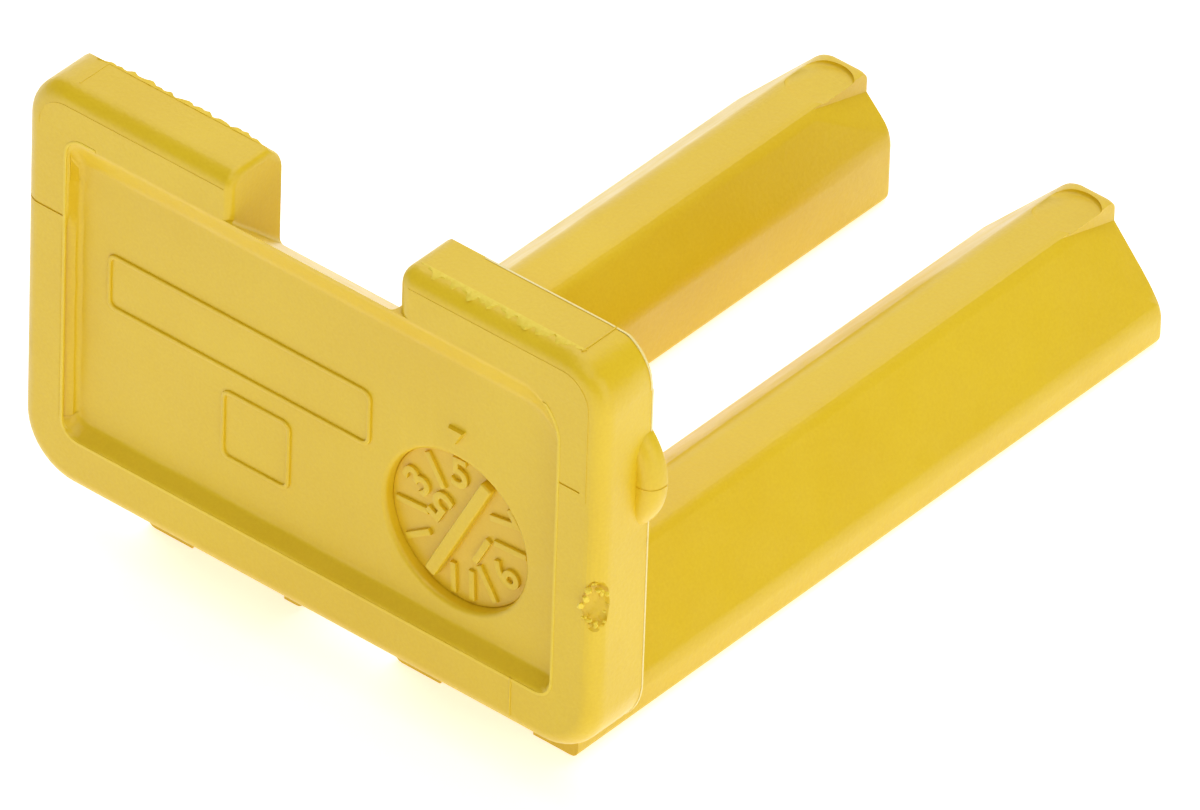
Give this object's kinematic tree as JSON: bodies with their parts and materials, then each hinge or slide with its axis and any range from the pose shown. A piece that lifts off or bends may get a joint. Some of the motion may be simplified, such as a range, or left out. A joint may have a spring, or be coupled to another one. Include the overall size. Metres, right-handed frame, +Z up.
{
  "type": "locking slide for a plug housing",
  "caption": "Moulded plastic locking slide: a thumb plate with a notched top edge, carrying long parallel wedge-topped bars that slide under the contacts of a plug housing.",
  "frame": {"origin": "middle of the footprint, on the plane that the bars' feet rest on", "axes": "+X to the right when looking at the thumb face, +Y from the thumb face to the bar tips, +Z up"},
  "size_m": [0.0218, 0.0276, 0.0154],
  "materials": {
    "yellow_plastic": "glass-filled polyester, satin, as moulded"
  },
  "bodies": {
    "root": {"face_plate": "yellow_plastic", "thumb_rim": "yellow_plastic", "left_grip_tab": "yellow_plastic", "right_grip_tab": "yellow_plastic", "left_locking_bar": "yellow_plastic", "right_locking_bar": "yellow_plastic", "left_detent_nub": "yellow_plastic", "right_detent_nub": "yellow_plastic", "date_dial": "yellow_plastic", "dial_pointer": "yellow_plastic", "dial_index_mark": "yellow_plastic", "label_frame": "yellow_plastic", "code_frame": "yellow_plastic"}
  },
  "joints": []
}
